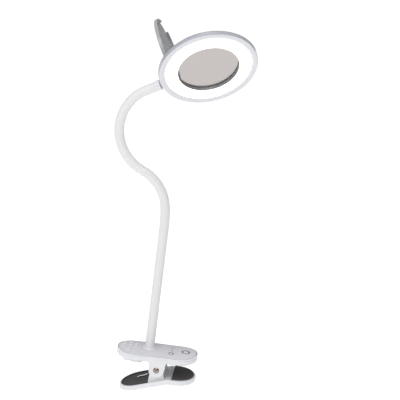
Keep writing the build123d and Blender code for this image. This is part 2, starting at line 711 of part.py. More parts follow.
def neck_core(first, last, cup, ball):
    """A length of the stiff core, with a cup at its start and a ball at its end where it is jointed."""
    rod_start = first + (BALL_RADIUS + BALL_GAP + 0.3 if cup else 0)
    rod_end = last - (CUP_RADIUS + 0.4 if ball else 0)
    with BuildPart() as core:
        with BuildLine() as run:
            draw_run(rod_start, rod_end)
        with BuildSketch(neck_frame(rod_start)):
            Circle(CORE_RADIUS)
        sweep(path=run.line)
        if not cup:
            with Locations(Location(neck_frame(first))):
                Cylinder(CORE_RADIUS, CORE_FOOT, align=HIGH)
        if ball:
            with BuildLine() as stalk:
                draw_run(rod_end - 0.5, last)
            with BuildSketch(neck_frame(rod_end - 0.5)):
                Circle(BALL_NECK)
            sweep(path=stalk.line)
            with Locations(Location(neck_frame(last))):
                Sphere(BALL_RADIUS)
        if cup:
            with Locations(Location(neck_frame(first))):
                Sphere(CUP_RADIUS)
                Sphere(BALL_RADIUS + BALL_GAP, mode=Mode.SUBTRACT)
                with Locations((0, 0, -CUP_MOUTH)):
                    Box(20, 20, 20, align=HIGH, mode=Mode.SUBTRACT)
    return core


BREAKS = [0.0] + JOINT_PLACES + [NECK_LENGTH]

with BuildPart() as neck_collar:
    with BuildSketch(Plane.XZ.shift_origin((NECK_X, 0, 0))):
        with BuildLine():
            Polyline(
                (WIRE_HOLE, NECK_START_Z + 1),
                (WIRE_HOLE, STUB_BOTTOM),
                (STUB_RADIUS, STUB_BOTTOM),
                (STUB_RADIUS, COLLAR_SEAT_Z),
                (COLLAR_BASE, COLLAR_SEAT_Z),
                (COLLAR_BASE, CROWN_TOP + 0.3),
            )
            Bezier(
                (COLLAR_BASE, CROWN_TOP + 0.3),
                (COLLAR_BASE - 2.6, CROWN_TOP + 0.6),
                (SLEEVE_RADIUS + 0.1, CROWN_TOP + 2.4),
                (SLEEVE_RADIUS + 0.1, NECK_START_Z + 1),
            )
            Line((SLEEVE_RADIUS + 0.1, NECK_START_Z + 1), (WIRE_HOLE, NECK_START_Z + 1))
        make_face()
    revolve(axis=Axis((NECK_X, 0, 0), (0, 0, 1)))
    with Locations(Location(neck_frame(0))):
        Box(30, 30, 10, align=LOW, mode=Mode.SUBTRACT)
        Cylinder(CORE_RADIUS + 0.02, CORE_FOOT, align=HIGH, mode=Mode.SUBTRACT)
save(neck_collar, "neck_collar")

for number in range(NECK_JOINTS + 1):
    at_base = number == 0
    at_head = number == NECK_JOINTS
    start_place = BREAKS[number]
    end_place = BREAKS[number + 1]
    sleeve_start = start_place + (0 if at_base else SLEEVE_HALF_GAP)
    sleeve_end = end_place - (0 if at_head else SLEEVE_HALF_GAP)
    save(neck_sleeve(sleeve_start, sleeve_end), f"neck_sleeve_{number}")
    core_piece = neck_core(start_place, end_place, not at_base, not at_head)
    save(core_piece, f"neck_core_{number}")

# ---------------------------------------------------------------- head frame
NECK_END = neck_frame(NECK_LENGTH)
ALONG = NECK_END.z_dir
FLAT_ACROSS = Vector(0, -1, 0)
STRAIGHT_DOWN = ALONG.cross(FLAT_ACROSS)
FRONT = FLAT_ACROSS * sin(radians(HEAD_ROLL)) + STRAIGHT_DOWN * cos(radians(HEAD_ROLL))
HEAD_CENTRE = NECK_END.origin + ALONG * (FERRULE_LENGTH + HEAD_RADIUS) + FRONT * NECK_AXIS_DEPTH
HEAD = Plane(origin=HEAD_CENTRE, x_dir=ALONG, z_dir=FRONT)
SECTION = Plane(origin=HEAD_CENTRE, x_dir=ALONG, z_dir=ALONG.cross(FRONT))
HEAD_AXIS = Axis(HEAD_CENTRE, FRONT)


SEAM_GAP = 0.2
BACK_INNER = HEAD_DEPTH - WALL
BACK_SEAM = BEZEL_DEPTH + SEAM_GAP
BACK_RADIUS = HEAD_RADIUS - HEAD_DEPTH + BACK_SLOPE_DEPTH
SLOPE_WALL = WALL * sqrt(2)


def turned_ring(points, arc=None):
    """Turn a closed outline of (radius, depth) points about the head's axis into the open part."""
    with BuildSketch(SECTION) as profile:
        with BuildLine():
            Polyline(*points, close=arc is None)
            if arc:
                ThreePointArc(points[-1], arc, points[0])
        make_face()
    revolve(profile.sketch, axis=HEAD_AXIS)


def ferrule_hole(radius, mode=Mode.SUBTRACT):
    """Open the side wall where the neck's ferrule enters, in the open part."""
    start = HEAD.from_local_coords((-HEAD_RADIUS - 4, 0, -NECK_AXIS_DEPTH))
    with BuildSketch(Plane(origin=start, z_dir=ALONG)) as hole:
        Circle(radius)
    extrude(hole.sketch, amount=12, mode=mode)


with BuildPart() as head_collar:
    with BuildSketch(NECK_END):
        Circle(FERRULE_RADIUS)
    extrude(amount=FERRULE_LENGTH - 1.2)
    fillet(head_collar.edges().filter_by(GeomType.CIRCLE), 0.9)
    with BuildSketch(NECK_END):
        Circle(FERRULE_STUB)
    extrude(amount=FERRULE_LENGTH + 5.0)
    with BuildSketch(NECK_END):
        Circle(1.6)
    extrude(amount=FERRULE_LENGTH + 5.0, mode=Mode.SUBTRACT)
save(head_collar, "head_collar")

with BuildPart() as front_bezel:
    turned_ring(
        [
            (HEAD_RADIUS, -BEZEL_DEPTH),
            (HEAD_RADIUS, -1.3),
            (HEAD_RADIUS - 0.4, -0.4),
            (HEAD_RADIUS - 1.3, 0),
            (BEZEL_FLAT, 0),
            (BEZEL_LIP, -0.8),
            (BEZEL_LIP, -1.8),
            (HEAD_RADIUS - WALL, -1.8),
            (HEAD_RADIUS - WALL, -BEZEL_DEPTH),
        ]
    )
    with BuildSketch(HEAD.offset(-BACK_INNER)):
        with PolarLocations(POST_RING, POST_COUNT, start_angle=45):
            Circle(POST_RADIUS)
    extrude(amount=BACK_INNER - 3.1)
    with BuildSketch(HEAD.offset(-BEZEL_DEPTH + 0.1)):
        with PolarLocations((POST_RING + HEAD_RADIUS) / 2, POST_COUNT, start_angle=45):
            Rectangle(HEAD_RADIUS - POST_RING - 1.6, 2.2)
    extrude(amount=BEZEL_DEPTH - 3.3)
    with BuildSketch(HEAD.offset(-HEAD_DEPTH)):
        with PolarLocations(POST_RING, POST_COUNT, start_angle=45):
            Circle(1.05)
    extrude(amount=6.5, mode=Mode.SUBTRACT)
    ferrule_hole(FERRULE_STUB + RUNNING_GAP)
save(front_bezel, "front_bezel")

with BuildPart() as diffuser_ring:
    turned_ring(
        [
            (LENS_OPENING + 0.1, -0.4),
            (LENS_OPENING + 0.1, -TUBE_TOP),
            (TUBE_RADIUS + 0.1, -TUBE_TOP),
            (TUBE_RADIUS + 0.1, -3.0),
            (HEAD_RADIUS - WALL - 0.15, -3.0),
            (HEAD_RADIUS - WALL - 0.15, -1.8),
            (BEZEL_LIP - 0.15, -1.8),
            (BEZEL_LIP - 0.15, -0.9),
        ],
        arc=((LENS_OPENING + BEZEL_LIP) / 2, 0.0),
    )
save(diffuser_ring, "diffuser_ring")

with BuildPart() as back_cover:
    turned_ring(
        [
            (LENS_OPENING, -TUBE_TOP),
            (TUBE_RADIUS, -TUBE_TOP),
            (TUBE_RADIUS, -BACK_INNER),
            (LED_RING - 0.8, -BACK_INNER),
            (LED_RING - 0.8, -LED_BOARD_TOP - LED_BOARD_THICK),
            (LED_RING + 0.8, -LED_BOARD_TOP - LED_BOARD_THICK),
            (LED_RING + 0.8, -BACK_INNER),
            (BACK_RADIUS + HEAD_DEPTH - BACK_INNER - SLOPE_WALL, -BACK_INNER),
            (BACK_RADIUS + HEAD_DEPTH - BACK_SEAM - SLOPE_WALL, -BACK_SEAM),
            (HEAD_RADIUS, -BACK_SEAM),
            (HEAD_RADIUS, -BACK_SLOPE_DEPTH),
            (BACK_RADIUS, -HEAD_DEPTH),
            (LENS_RADIUS + 0.2, -HEAD_DEPTH),
            (LENS_RADIUS + 0.2, -LENS_FRONT + 0.25),
            (LENS_OPENING, -LENS_FRONT + 0.25),
        ]
    )
    circles = back_cover.edges().filter_by(GeomType.CIRCLE)
    fillet(circles.filter_by(lambda edge: abs(edge.radius - BACK_RADIUS) < 0.01), 2.5)
    for side in (-1, 1):
        lug_start = HEAD.from_local_coords((-LID_HINGE_OFFSET, side * (BARREL_HALF + 0.3), -LID_HINGE_DEPTH))
        lug_dir = HEAD.y_dir * side
        with BuildSketch(Plane(origin=lug_start, x_dir=ALONG, z_dir=lug_dir)):
            Circle(BARREL_RADIUS)
            reach = LID_HINGE_DEPTH - HEAD_DEPTH + 0.5
            with Locations((0, -side * reach / 2)):
                Rectangle(2 * BARREL_RADIUS, reach)
        extrude(amount=HINGE_LUG)
    hinge_middle = HEAD.from_local_coords((-LID_HINGE_OFFSET, 0, -LID_HINGE_DEPTH))
    with BuildSketch(Plane(origin=hinge_middle, x_dir=ALONG, z_dir=HEAD.y_dir)):
        Circle(HINGE_PIN + 0.02)
    extrude(amount=BARREL_HALF + HINGE_LUG + 2, both=True, mode=Mode.SUBTRACT)
    with BuildSketch(HEAD.offset(-HEAD_DEPTH)):
        with PolarLocations(POST_RING, POST_COUNT, start_angle=45):
            Circle(1.3)
    extrude(amount=4, mode=Mode.SUBTRACT)
    with BuildSketch(HEAD.offset(-HEAD_DEPTH)):
        with PolarLocations(POST_RING, POST_COUNT, start_angle=45):
            Circle(2.1)
    extrude(amount=0.9, mode=Mode.SUBTRACT)
    ferrule_hole(FERRULE_STUB + RUNNING_GAP)
save(back_cover, "back_cover")

with BuildPart() as head_screws:
    with BuildSketch(HEAD.offset(-HEAD_DEPTH + 0.05)):
        with PolarLocations(POST_RING, POST_COUNT, start_angle=45):
            Circle(1.9)
    extrude(amount=0.8)
    with BuildSketch(HEAD.offset(-HEAD_DEPTH + 0.05)):
        with PolarLocations(POST_RING, POST_COUNT, start_angle=45):
            Circle(1.0)
    extrude(amount=6.0)
    with BuildSketch(HEAD.offset(-HEAD_DEPTH)):
        with PolarLocations(POST_RING, POST_COUNT, start_angle=45):
            Rectangle(2.2, 0.5)
            Rectangle(0.5, 2.2)
    extrude(amount=0.5, mode=Mode.SUBTRACT)
save(head_screws, "head_screws")

with BuildPart() as led_board:
    with BuildSketch(HEAD.offset(-LED_BOARD_TOP - LED_BOARD_THICK)):
        Circle(LED_BOARD_OUTER)
        Circle(LED_BOARD_INNER, mode=Mode.SUBTRACT)
    extrude(amount=LED_BOARD_THICK)
save(led_board, "led_board")

with BuildPart() as led_chips:
    with BuildSketch(HEAD.offset(-LED_BOARD_TOP)):
        with PolarLocations(LED_RING, LED_COUNT):
            Rectangle(2.8, 3.2)
    extrude(amount=0.8)
save(led_chips, "led_chips")

with BuildPart() as head_leads:
    for y in (-0.9, 0.9):
        with BuildLine() as head_lead:
            Line(HEAD.from_local_coords((-52.8, y, -6.2)), HEAD.from_local_coords((-47.2, y, -6.2)))
        with BuildSketch(Plane(origin=head_lead.line @ 0, z_dir=head_lead.line % 0)):
            Circle(0.6)
        sweep()
save(head_leads, "head_leads")

LENS_SPHERE = (LENS_RADIUS**2 + LENS_BULGE**2) / (2 * LENS_BULGE)
LENS_MIDDLE = LENS_FRONT + LENS_EDGE / 2

with BuildPart() as lens:
    with Locations(Location(HEAD.offset(-LENS_MIDDLE))):
        Cylinder(LENS_RADIUS, LENS_EDGE + 2 * LENS_BULGE)
    for side in (-1, 1):
        sphere_shift = side * (LENS_SPHERE - LENS_BULGE - LENS_EDGE / 2)
        with Locations(Location(HEAD.offset(-LENS_MIDDLE + sphere_shift))):
            Sphere(LENS_SPHERE, mode=Mode.INTERSECT)
save(lens, "lens")

with BuildPart() as lens_retainer:
    turned_ring(
        [
            (LENS_RADIUS + 0.05, -LENS_FRONT - LENS_EDGE - 0.1),
            (LENS_RADIUS - 1.0, -LENS_FRONT - LENS_EDGE - 0.1),
            (RETAINER_BORE, -LENS_FRONT - LENS_EDGE - 0.8),
            (RETAINER_BORE, -HEAD_DEPTH + 0.4),
            (LENS_RADIUS + 0.05, -HEAD_DEPTH + 0.4),
        ]
    )
save(lens_retainer, "lens_retainer")

# ---------------------------------------------------------------- lens lid
LID = Plane(
    origin=HEAD.from_local_coords((-LID_HINGE_OFFSET, 0, -LID_HINGE_DEPTH)), x_dir=FRONT * -1, z_dir=ALONG
)
LID_CENTRE = LID_REACH + LID_RADIUS

with BuildPart() as lens_lid:
    with BuildSketch(LID.offset(LID_PLATE_BACK)):
        with Locations((LID_CENTRE, 0)):
            Circle(LID_RADIUS)
    extrude(amount=LID_SKIRT_TOP - LID_PLATE_BACK)
    lid_circles = lens_lid.edges().filter_by(GeomType.CIRCLE)
    fillet(lid_circles.sort_by(lambda edge: LID.to_local_coords(edge.center()).Z)[0], 1.3)
    with BuildSketch(LID.offset(LID_PLATE_FRONT)):
        with Locations((LID_CENTRE, 0)):
            Circle(LID_RADIUS - LID_SKIRT_WALL)
    extrude(amount=6, mode=Mode.SUBTRACT)
    with BuildSketch(LID.offset(LID_PLATE_FRONT)):
        with Locations((LID_CENTRE + LID_RADIUS, 0)):
            Rectangle(12, LID_FINGER_GAP)
    extrude(amount=6, mode=Mode.SUBTRACT)
    with BuildSketch(LID.offset(LID_PLATE_BACK)):
        Rectangle(LID_REACH + 1.6, 2 * BARREL_HALF, align=(Align.MIN, Align.CENTER))
    extrude(amount=LID_PLATE_FRONT - LID_PLATE_BACK)
    with BuildSketch(Plane(origin=LID.origin, x_dir=ALONG, z_dir=HEAD.y_dir)):
        Circle(BARREL_RADIUS)
    extrude(amount=BARREL_HALF, both=True)
    with BuildSketch(Plane(origin=LID.origin, x_dir=ALONG, z_dir=HEAD.y_dir)):
        Circle(HINGE_PIN + RUNNING_GAP)
    extrude(amount=BARREL_HALF + 1, both=True, mode=Mode.SUBTRACT)
save(lens_lid, "lens_lid")

with BuildPart() as lid_bumper:
    with BuildSketch(LID.offset(LID_PLATE_FRONT)):
        with Locations((LID_CENTRE + 24, 22), (LID_CENTRE + 24, -22)):
            Circle(2.5)
    extrude(amount=1.4)
save(lid_bumper, "lid_bumper")

with BuildPart() as lid_hinge_pin:
    with BuildSketch(Plane(origin=LID.origin, x_dir=ALONG, z_dir=HEAD.y_dir)):
        Circle(HINGE_PIN)
    extrude(amount=BARREL_HALF + HINGE_LUG + 0.6, both=True)
save(lid_hinge_pin, "lid_hinge_pin")
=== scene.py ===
import json
from math import cos, pi, radians, sin, sqrt

import bmesh
import bpy
from mathutils import Matrix, Vector


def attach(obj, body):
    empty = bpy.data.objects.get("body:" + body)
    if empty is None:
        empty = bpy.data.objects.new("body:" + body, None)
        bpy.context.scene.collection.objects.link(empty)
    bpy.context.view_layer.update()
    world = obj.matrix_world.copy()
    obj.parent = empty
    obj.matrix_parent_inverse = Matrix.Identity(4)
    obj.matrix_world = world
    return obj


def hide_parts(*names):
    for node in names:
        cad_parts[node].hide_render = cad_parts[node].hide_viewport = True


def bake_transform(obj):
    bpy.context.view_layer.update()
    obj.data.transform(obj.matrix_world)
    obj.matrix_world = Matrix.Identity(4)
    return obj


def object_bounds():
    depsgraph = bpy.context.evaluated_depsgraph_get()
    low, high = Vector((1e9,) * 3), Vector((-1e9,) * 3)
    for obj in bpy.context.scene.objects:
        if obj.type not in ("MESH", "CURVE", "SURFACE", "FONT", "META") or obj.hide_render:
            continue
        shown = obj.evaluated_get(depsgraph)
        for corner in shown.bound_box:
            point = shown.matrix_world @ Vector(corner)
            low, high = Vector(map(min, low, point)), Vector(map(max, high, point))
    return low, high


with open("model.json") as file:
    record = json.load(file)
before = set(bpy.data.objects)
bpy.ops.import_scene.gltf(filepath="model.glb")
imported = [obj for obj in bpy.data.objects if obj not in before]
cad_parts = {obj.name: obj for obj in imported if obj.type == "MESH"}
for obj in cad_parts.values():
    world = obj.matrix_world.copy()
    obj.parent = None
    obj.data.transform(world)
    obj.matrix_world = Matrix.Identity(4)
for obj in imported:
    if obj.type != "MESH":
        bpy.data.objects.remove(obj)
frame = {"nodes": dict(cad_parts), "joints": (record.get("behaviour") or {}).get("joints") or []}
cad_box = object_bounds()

NODES = frame["nodes"]
JOINTS = {joint["name"]: joint for joint in frame["joints"]}
MM = 0.001
UP = Vector((0, 0, 1))
SIDEWAYS = Vector((0, 1, 0))
NECK_JOINTS = 8
# the way the lit face of the head looks
FRONT = Vector((0.315368, -0.71934, -0.618945))


# ---------------------------------------------------------------- camera
def look_from(place, right, up, back, focal):
    """Make the scene's camera at a place, with its own right, up and backward directions."""
    data = bpy.data.cameras.new("camera")
    data.lens = focal
    data.sensor_width = 36.0
    data.clip_end = 60.0
    camera = bpy.data.objects.new("camera", data)
    bpy.context.scene.collection.objects.link(camera)
    axes = Matrix((right, up, back)).transposed()
    camera.matrix_world = Matrix.Translation(place) @ axes.to_4x4()
    bpy.context.scene.camera = camera


look_from(
    place=(0.1070, -1.2573, 0.5410),
    right=(0.99041, 0.10556, 0.08912),
    up=(-0.11298, 0.24766, 0.96224),
    back=(0.07950, -0.96308, 0.25722),
    focal=99.0,
)


# ---------------------------------------------------------------- materials
class Nodes:
    """A small builder for one material's node tree."""

    def __init__(self, name):
        self.material = bpy.data.materials.new(name)
        self.material.use_nodes = True
        self.tree = self.material.node_tree
        self.shader = self.tree.nodes["Principled BSDF"]
        self.place = self.tree.nodes.new("ShaderNodeTexCoord").outputs["Object"]

    def add(self, kind, inputs=(), **settings):
        """Add a node, with plain values or links for its inputs."""
        node = self.tree.nodes.new(kind)
        for key, value in settings.items():
            setattr(node, key, value)
        for key, value in dict(inputs).items():
            if isinstance(value, bpy.types.NodeSocket):
                self.tree.links.new(value, node.inputs[key])
            else:
                node.inputs[key].default_value = value
        return node

    def noise(self, scale, detail=3.0, roughness=0.5, vector=None):
        """A noise pattern, from 0 to 1."""
        inputs = {"Vector": vector or self.place, "Scale": scale, "Detail": detail, "Roughness": roughness}
        return self.add("ShaderNodeTexNoise", inputs).outputs["Fac"]

    def spread(self, value, low, high, from_low=0.3, from_high=0.7):
        """Map a pattern onto a range of values."""
        inputs = {"Value": value, "From Min": from_low, "From Max": from_high, "To Min": low, "To Max": high}
        return self.add("ShaderNodeMapRange", inputs).outputs["Result"]

    def mix(self, factor, first, second):
        """Mix two colours by a pattern."""
        node = self.add("ShaderNodeMix", data_type="RGBA")
        for key, value in ((0, factor), (6, first), (7, second)):
            if isinstance(value, bpy.types.NodeSocket):
                self.tree.links.new(value, node.inputs[key])
            else:
                node.inputs[key].default_value = value
        return node.outputs[2]

    def bump(self, height, strength, distance):
        """Turn a pattern into a bump, in metres of height, on the shader."""
        inputs = {"Height": height, "Strength": strength, "Distance": distance}
        self.link("Normal", self.add("ShaderNodeBump", inputs).outputs["Normal"])

    def link(self, socket, output):
        """Link an output to the shader."""
        self.tree.links.new(output, self.shader.inputs[socket])

    def set(self, **values):
        """Set plain values on the shader's sockets, with underscores for spaces."""
        for key, value in values.items():
            self.shader.inputs[key.replace("_", " ")].default_value = value


def shade(color, factor):
    """A colour made lighter or darker."""
    return tuple(min(1.0, channel * factor) for channel in color) + (1.0,)


def moulded(name, color, roughness, grain=0.00002, grain_scale=2600.0, tone=0.02, coat=0.0,
            side=None, axis=FRONT):
    """Moulded plastic or rubber: a fine spark-eroded grain, faint flow marks and uneven gloss.

    With a side colour, the faces that don't look along an axis are painted in it.
    """
    n = Nodes(name)
    flow = n.noise(28.0, detail=4.0)
    specks = n.noise(grain_scale, detail=2.0)
    smudges = n.noise(75.0, detail=5.0, roughness=0.65)
    paint = n.mix(n.spread(flow, 0.0, 1.0), shade(color, 1 - tone), shade(color, 1 + tone))
    if side:
        normal = n.add("ShaderNodeTexCoord").outputs["Normal"]
        along = n.add("ShaderNodeVectorMath", {0: normal, 1: axis}, operation="DOT_PRODUCT")
        paint = n.mix(n.spread(along.outputs["Value"], 0.0, 1.0, 0.45, 0.85), shade(side, 1.0), paint)
    n.link("Base Color", paint)
    n.link("Roughness", n.spread(smudges, roughness * 0.88, min(1.0, roughness * 1.14)))
    n.bump(specks, 0.6, grain)
    n.set(IOR=1.49, Coat_Weight=coat, Coat_Roughness=0.12)
    return n.material


def metal(name, color, roughness, streak=(1.0, 1.0, 1.0), scale=900.0, tone=0.05, bump=0.000008):
    """Turned, drawn or plated metal: fine streaks in its colour, gloss and surface."""
    n = Nodes(name)
    stretched = n.add("ShaderNodeMapping", {"Vector": n.place, "Scale": streak}).outputs["Vector"]
    lines = n.noise(scale, detail=4.0, vector=stretched)
    stains = n.noise(160.0, detail=4.0)
    n.link("Base Color", n.mix(n.spread(lines, 0.0, 1.0), shade(color, 1 - tone), shade(color, 1 + tone)))
    n.link("Roughness", n.spread(stains, roughness * 0.7, roughness * 1.4))
    n.bump(lines, 0.5, bump)
    n.set(Metallic=1.0)
    return n.material


def glowing_diffuser():
    """Opal plastic lit from behind, its glow a little cloudy."""
    n = Nodes("opal_diffuser")
    cloud = n.noise(140.0, detail=3.0)
    n.link("Base Color", n.mix(n.spread(cloud, 0.0, 1.0), (0.93, 0.94, 0.95, 1), (0.97, 0.97, 0.98, 1)))
    n.link("Roughness", n.spread(cloud, 0.32, 0.42))
    n.link("Emission Strength", n.spread(cloud, 1.15, 1.25))
    n.set(Emission_Color=(1.0, 0.995, 0.985, 1))
    n.set(Subsurface_Weight=0.1, Subsurface_Radius=(0.002, 0.002, 0.002))
    n.bump(n.noise(3000.0), 0.4, 0.00001)
    return n.material


def lens_glass():
    """Clear glass with a warm grey tint and a faint film of dust, which bends light only a little."""
    n = Nodes("lens_glass")
    dust = n.noise(420.0, detail=6.0, roughness=0.7)
    n.link("Roughness", n.spread(dust, 0.0, 0.03, 0.55, 0.8))
    n.set(Base_Color=(0.55, 0.515, 0.50, 1), Transmission_Weight=1.0, IOR=1.22)
    return n.material


def circuit_board():
    """Green solder mask over faint copper tracks."""
    n = Nodes("circuit_board")
    tracks = n.add(
        "ShaderNodeTexBrick",
        {"Vector": n.place, "Scale": 420.0, "Mortar Size": 0.03, "Color1": (0.02, 0.14, 0.07, 1),
         "Color2": (0.02, 0.17, 0.08, 1), "Mortar": (0.05, 0.26, 0.12, 1)},
    )
    n.link("Base Color", tracks.outputs["Color"])
    n.link("Roughness", n.spread(n.noise(300.0), 0.25, 0.4))
    n.bump(tracks.outputs["Fac"], 0.4, 0.00002)
    return n.material


def light_chip():
    """A yellow phosphor dome, lit."""
    n = Nodes("light_chip")
    n.link("Base Color", n.mix(n.noise(2500.0), (0.95, 0.86, 0.35, 1), (1.0, 0.93, 0.55, 1)))
    n.link("Roughness", n.spread(n.noise(900.0), 0.3, 0.5))
    n.set(Emission_Color=(1.0, 0.95, 0.85, 1), Emission_Strength=1.5)
    return n.material


white_plastic = moulded("white_plastic", (0.77, 0.775, 0.80), 0.36, coat=0.15)
# the top panel: its own colour on top, and every face that doesn't look up painted near black as the shadow
# in the seam round the panel
panel_with_seam_shadow = moulded(
    "panel_with_seam_shadow", (0.73, 0.73, 0.78), 0.24, grain=0.00001, coat=0.7, side=(0.05, 0.05, 0.06), axis=UP
)
bezel_plastic = moulded("bezel_plastic", (0.70, 0.705, 0.73), 0.32, coat=0.3, side=(0.40, 0.405, 0.455))
cover_plastic = moulded("cover_plastic", (0.30, 0.303, 0.325), 0.30, coat=0.4)
# the lid and its bumpers are white plastic painted mid grey: painted shade for the shadow they sit in behind
# the head
lid_shaded_grey = moulded("lid_shaded_grey", (0.40, 0.405, 0.42), 0.34, coat=0.3)
dot_white = moulded("dot_white", (0.95, 0.95, 0.96), 0.4)
# near-black rings round both buttons: painted shadow for the gap between each button cap and the housing
button_gap_shadow = moulded("button_gap_shadow", (0.010, 0.010, 0.012), 0.6)
mark_grey = moulded("mark_grey", (0.16, 0.16, 0.19), 0.3, coat=0.3)
# a near-black pad in the lower handle's tray: painted shadow for the deep shade inside the hollow handle
handle_painted_shadow = moulded(
    "handle_painted_shadow", (0.070, 0.070, 0.072), 0.62, grain=0.00005, grain_scale=1700.0, tone=0.08
)
jaw_rubber = moulded("jaw_rubber", (0.075, 0.07, 0.07), 0.7, grain=0.00006, grain_scale=1500.0, tone=0.08)
sleeve_rubber = moulded("sleeve_rubber", (0.76, 0.763, 0.77), 0.42, grain=0.000015, tone=0.01)
chrome = metal("chrome", (0.30, 0.26, 0.215), 0.08, scale=500.0, tone=0.02, bump=0.000002)
spring_steel = metal("spring_steel", (0.68, 0.68, 0.70), 0.22, scale=1500.0)
screw_steel = metal("screw_steel", (0.60, 0.60, 0.61), 0.30, scale=1200.0)
core_steel = metal("core_steel", (0.55, 0.55, 0.56), 0.35, streak=(1, 1, 12))
brass = metal("brass", (0.80, 0.62, 0.30), 0.28)
nylon = moulded("nylon", (0.80, 0.80, 0.79), 0.5)
battery_wrap = moulded("battery_wrap", (0.10, 0.22, 0.48), 0.3, coat=0.3)
black_resin = moulded("black_resin", (0.025, 0.025, 0.027), 0.45)
lead_red = moulded("lead_red", (0.55, 0.05, 0.04), 0.45)
board_green = circuit_board()
opal = glowing_diffuser()
glass = lens_glass()
phosphor = light_chip()

LOOKS = {
    white_plastic: [
        "upper_housing", "lower_housing", "neck_collar", "lower_lever", "power_button", "mode_button",
        "head_collar", "lens_retainer",
    ],
    bezel_plastic: ["front_bezel"],
    cover_plastic: ["back_cover"],
    lid_shaded_grey: ["lens_lid", "lid_bumper"],
    panel_with_seam_shadow: ["top_panel"],
    dot_white: ["grip_dots"],
    button_gap_shadow: ["power_button_ring", "mode_button_ring"],
    mark_grey: ["indicator_lights"],
    handle_painted_shadow: ["lower_handle_pad"],
    jaw_rubber: ["upper_jaw_pad", "lower_jaw_pad"],
    chrome: ["pivot_pin", "pivot_nut"],
    screw_steel: ["housing_screws", "head_screws", "lid_hinge_pin", "usb_socket", "tact_switches"],
    core_steel: [f"neck_core_{number}" for number in range(NECK_JOINTS + 1)],
    brass: ["neck_nut"],
    nylon: ["pivot_bush"],
    battery_wrap: ["battery"],
    black_resin: ["board_chips"],
    lead_red: ["base_leads", "head_leads"],
    board_green: ["control_board", "led_board"],
    opal: ["diffuser_ring"],
    phosphor: ["led_chips"],
}


def dress(obj, material):
    """Give an object one material."""
    obj.data.materials.clear()
    obj.data.materials.append(material)


for look, names in LOOKS.items():
    for node_name in names:
        dress(NODES[node_name], look)


# ---------------------------------------------------------------- mesh helpers
def mesh_object(name, rings, material, caps=True, smooth_angle=0.6):
    """A skin over rings of points, each ring of the same count, with or without flat end caps."""
    mesh = bmesh.new()
    rows = [[mesh.verts.new(point) for point in ring] for ring in rings]
    for near, far in zip(rows, rows[1:]):
        count = len(near)
        for k in range(count):
            corners = (near[k], near[(k + 1) % count], far[(k + 1) % count], far[k])
            mesh.faces.new(corners)
    if caps:
        mesh.faces.new(list(reversed(rows[0])))
        mesh.faces.new(rows[-1])
    bmesh.ops.recalc_face_normals(mesh, faces=mesh.faces)
    data = bpy.data.meshes.new(name)
    mesh.to_mesh(data)
    mesh.free()
    obj = bpy.data.objects.new(name, data)
    bpy.context.scene.collection.objects.link(obj)
    dress(obj, material)
    data.shade_smooth()
    data.set_sharp_from_angle(angle=smooth_angle)
    return obj


def circle(centre, across, over, radius, count):
    """A ring of points round a centre, in the plane of two directions."""
    turns = [2 * pi * k / count for k in range(count)]
    return [centre + across * (radius * cos(a)) + over * (radius * sin(a)) for a in turns]


def square_to(direction, hint):
    """Two directions at right angles to a direction, the first as near to a hint as it can be."""
    across = (hint - direction * hint.dot(direction)).normalized()
    return across, direction.cross(across)


# ---------------------------------------------------------------- gooseneck sleeve
NECK_START = Vector((-42.0, 0.0, 16.0)) * MM
# each run as (length or bend radius in millimetres, turn in degrees)
NECK_RUNS = [(150.0, 0.0), (200.0, -7.0), (51.5, -61.0), (53.5, 129.0), (10.8, 0.0)]
NECK_LEAN = 2.0
SLEEVE_RADIUS = 5.75 * MM
SLEEVE_SIDES = 56
LINE_STEP = 0.5 * MM
# the sleeve has a ring at every third point of the line
RING_EVERY = 3


def neck_line(step):
    """Points along the neck's centre line, as (distance, point, direction)."""
    point = NECK_START.copy()
    lean = radians(NECK_LEAN)
    travelled = 0.0
    line = []
    for size, turn in NECK_RUNS:
        turn = radians(turn)
        length = (abs(turn) * size if turn else size) * MM
        count = max(1, round(length / step))
        for _ in range(count):
            line.append((travelled, point.copy(), Vector((sin(lean), 0, cos(lean)))))
            half = turn / count / 2
            chord = length / count * (sin(half) / half if turn else 1.0)
            point += Vector((sin(lean + half), 0, cos(lean + half))) * chord
            lean += turn / count
            travelled += length / count
    line.append((travelled, point.copy(), Vector((sin(lean), 0, cos(lean)))))
    return line


NECK = neck_line(LINE_STEP)
NECK_LENGTH = NECK[-1][0]


def neck_sleeve(number):
    """The stretch of sleeve centred on one of the neck's joints."""
    step = NECK_LENGTH / NECK_JOINTS
    low = step * number
    high = step * (number + 1)
    inside = [row for row in NECK if low - 1e-6 <= row[0] <= high + 1e-6]
    first = min(NECK, key=lambda row: abs(row[0] - low))
    last = min(NECK, key=lambda row: abs(row[0] - high))
    rows = [first] + [row for row in inside[::RING_EVERY] if row not in (first, last)] + [last]
    rings = [
        circle(point, SIDEWAYS, along.cross(SIDEWAYS), SLEEVE_RADIUS, SLEEVE_SIDES)
        for _, point, along in rows
    ]
    sleeve = mesh_object(f"sleeve_{number + 1}", rings, sleeve_rubber, caps=False)
    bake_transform(sleeve)
    return sleeve


sleeves = [neck_sleeve(number) for number in range(NECK_JOINTS)]
for number, sleeve in enumerate(sleeves):
    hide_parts(f"neck_sleeve_{number}")
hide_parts("neck_sleeve_8")


# ---------------------------------------------------------------- torsion spring
PIVOT = Vector(JOINTS["jaw_pivot"]["pos_m"])
COIL_RADIUS = 5.2 * MM
WIRE_RADIUS = 0.8 * MM
COIL_PITCH = 1.75 * MM
COIL_TURNS = 6
